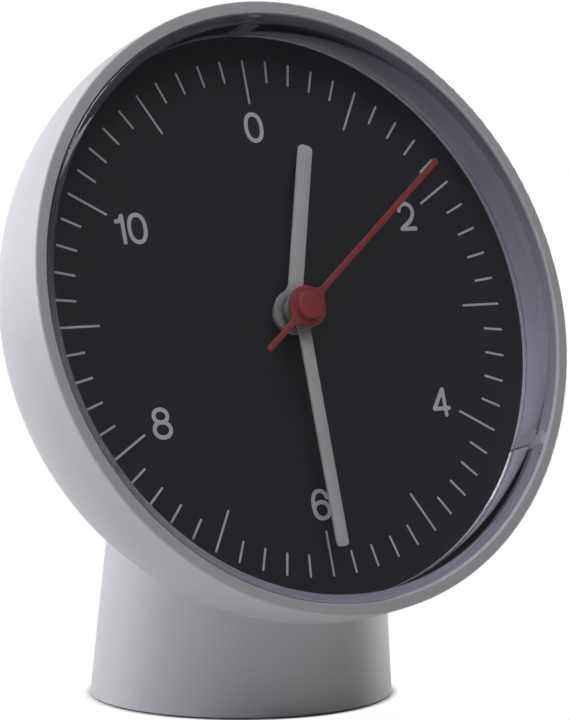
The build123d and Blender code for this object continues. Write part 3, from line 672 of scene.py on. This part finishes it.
def red_hand():
    """Seconds hand: a thin bar and tail, a raised boss, and a collar on the shaft."""
    low, top = head_level("second_hand")
    plate_top = top - BOSS_H
    outline = hand_outline("second_hand", **SWEEP_BAR)
    plate = plate_mesh("sweep_hand", [outline], plate_top - HAND_T, plate_top, HAND_EDGE)
    foot_r = BOSS_R + BOSS_SPREAD
    boss = [(0, top)] + arc((BOSS_R - BOSS_ROUND, top - BOSS_ROUND), BOSS_ROUND, 90, 0, 6)
    boss += [(BOSS_R, plate_top + BOSS_FILLET), (foot_r, plate_top - BOSS_SUNK)]
    boss += [(foot_r, plate_top - BOSS_DEEP), (0, plate_top - BOSS_DEEP)]
    cap = spun("sweep_boss", boss, turns=96)
    smooth(cap, 50)
    ring = collar_mesh(SHAFT_R, SWEEP_COLLAR_R, low, plate_top - BOSS_DEEP - BOSS_GAP, turns=72)
    mesh = joined([plate, cap, ring])
    piece("sweep_hand", mesh, "second_train", MATERIALS["hand_red"], ("second_hand",))


# ---------------------------------------------------------------- lens
LENS_T = 1.05
LENS_CROWN = 0.6           # rise of the dome
LENS_EDGE = -0.25          # level that the dome would have at LENS_R
LENS_GAP = 0.02            # between the skirt's foot and the dial
DOME_RINGS = 24
EDGE_RING = 0.12           # width of the ring that keeps the shading of the dome's edge clean
EDGE_ROUND = 0.18          # the rounded outer edge takes this much of the radius
EDGE_POINTS = ((0.0, 0.2), (0.05, 0.07))   # its other points: (in from the skirt, down from the dome)


def dome(radius, level):
    """Profile of the shallow dome from a radius to the axis, with a narrow ring at the edge."""
    ball = (LENS_R ** 2 + LENS_CROWN ** 2) / (2 * LENS_CROWN)
    centre = level + LENS_CROWN - ball
    radii = [radius, radius - EDGE_RING] + [radius * k / DOME_RINGS for k in range(DOME_RINGS - 1, -1, -1)]
    return [(r, centre + math.sqrt(ball ** 2 - r ** 2)) for r in radii]


def lens_cup():
    """Skirt and dome in one, with a rounded outer edge."""
    outer = dome(LENS_R - EDGE_ROUND, LENS_EDGE)
    inner = dome(SKIRT_IN, LENS_EDGE - LENS_T)
    foot = DIAL_FRONT + LENS_GAP
    side = [(LENS_R, foot)] + [(LENS_R - inset, outer[0][1] - drop) for inset, drop in EDGE_POINTS]
    mesh = spun("lens_cup", side + outer + inner[::-1] + [(SKIRT_IN, foot)], turns=256)
    smooth(mesh)
    piece("lens_cup", mesh, "clock_body", MATERIALS["lens_clear"], ("lens",))


SNAPS = (0.0, 120.0, 240.0)    # clock angles
SNAP_HALF = 1.3            # half the width
SNAP_LOW = DIAL_FRONT + 0.05
SNAP_TOP = DIAL_FRONT + 5.3
SNAP_OUT = 0.45            # how far a pad stands out of the skirt
SNAP_IN = 0.05             # and how far it reaches into it
SNAP_CORNER = 0.35
SNAP_EDGE = 0.08


def lens_pads():
    """Outward pads that click into pockets of the bore, with rounded corners."""
    middle = SNAP_HALF - SNAP_CORNER
    face = [(-SNAP_HALF, SNAP_LOW), (SNAP_HALF, SNAP_LOW)]
    for x, start in ((middle, 0), (-middle, 90)):
        face += arc((x, SNAP_TOP - SNAP_CORNER), SNAP_CORNER, start, start + 90, 6)
    pads = []
    for angle in SNAPS:
        mesh = plate_mesh("snap", [face], LENS_R - SNAP_IN, LENS_R + SNAP_OUT, SNAP_EDGE)
        mesh.transform(Matrix.Rotation(math.radians(-90), 4, "X"))
        mesh.transform(Matrix.Scale(-1, 4, (0, 0, 1)))
        mesh.flip_normals()
        mesh.transform(Matrix.Rotation(math.radians(-angle), 4, "Z"))
        pads.append(mesh)
    piece("lens_pads", joined(pads), "clock_body", MATERIALS["pad_frosted"])


dial_print()
grey_hand("hour_bar", "hour_hand", "hour_train", HOUR_BAR, HOUR_PIPE_R, HOUR_COLLAR_R)
grey_hand("minute_bar", "minute_hand", "minute_train", MINUTE_BAR, MINUTE_PIPE_R, MINUTE_COLLAR_R)
red_hand()
lens_cup()
lens_pads()

# ---------------------------------------------------------------- stage
# name: (azimuth, height, distance, (width, height), power, colour), see softbox
LAMPS = {
    "left_box": (100, 0.25, 1.1, (1.0, 1.1), 12.6, (0.955, 0.985, 1.0)),
    "left_back": (140, 0.35, 1.1, (0.9, 1.0), 4.5, (0.96, 0.97, 1.0)),
    "right_strip": (-136, 0.15, 1.0, (0.25, 0.9), 9.5, (1.0, 0.98, 0.90)),
    "high_left": (45, 1.0, 0.6, (0.6, 0.6), 2.2, (1, 1, 1)),
    "high_front": (-25, 0.62, 0.25, (0.3, 0.3), 1.35, (1, 1, 1)),
    "low_left": (40, 0.14, 1.2, (0.5, 0.2), 1.3, (0.97, 0.96, 1.0)),
}
WALL_COLOUR = (0.82, 0.85, 1.0)
WALLS = 0.25               # strength of the studio walls
DIM_WALL = 0.07            # and of the dim part, which the glass mirrors toward the camera
DIM_SIDE = (0.565, -0.720, 0.403)   # unit direction of the dim part
DIM_FADE = (0.80, 0.94)    # cosines of the angles from it between which the wall goes dim
FLOOR_R = 4000.0
FLOOR_FADE = (24.6, 25.8)  # distances from the axis of the base between which the floor turns white


def studio_world():
    """White to the camera, pale walls in glass and shiny things, and no light on diffuse surfaces."""
    world = bpy.data.worlds.new("studio")
    scene.world = world
    world.use_nodes = True
    tree = world.node_tree
    direction = add(tree, "TexCoord").outputs["Generated"]
    walls = spread(tree, vector_node(tree, "DOT_PRODUCT", direction, DIM_SIDE), WALLS, DIM_WALL, *DIM_FADE)
    ray = add(tree, "LightPath")
    shows = math_node(tree, "SUBTRACT", 1.0, ray.outputs["Is Diffuse Ray"])
    pale = tree.nodes["Background"]
    pale.inputs["Color"].default_value = (*WALL_COLOUR, 1)
    tree.links.new(math_node(tree, "MULTIPLY", walls, shows), pale.inputs["Strength"])
    white = add(tree, "Background", Color=(1, 1, 1, 1))
    either(tree, ray.outputs["Is Camera Ray"], pale, white, "World Output")


def studio_floor():
    """Pale floor that the camera sees as white away from the clock."""
    bm = bmesh.new()
    bmesh.ops.create_circle(bm, cap_ends=True, segments=96, radius=FLOOR_R * MM)
    mesh = bpy.data.meshes.new("floor")
    bm.to_mesh(mesh)
    bm.free()
    mat = finish("floor", (0.86, 0.86, 0.86), 0.01, 300.0, (0.6, 0.7), 0.01)
    tree = mat.node_tree
    far = vector_node(tree, "LENGTH", object_point(tree))
    fade = spread(tree, far, 0, 1, *(distance * MM for distance in FLOOR_FADE))
    seen = math_node(tree, "MULTIPLY", fade, add(tree, "LightPath").outputs["Is Camera Ray"])
    either(tree, seen, tree.nodes["Principled BSDF"], add(tree, "Emission"))
    mesh.materials.append(mat)
    floor = bpy.data.objects.new("floor", mesh)
    scene.collection.objects.link(floor)


camera()
for name, facts in LAMPS.items():
    softbox(name, *facts)
studio_world()
studio_floor()
scene.view_settings.view_transform = "Standard"
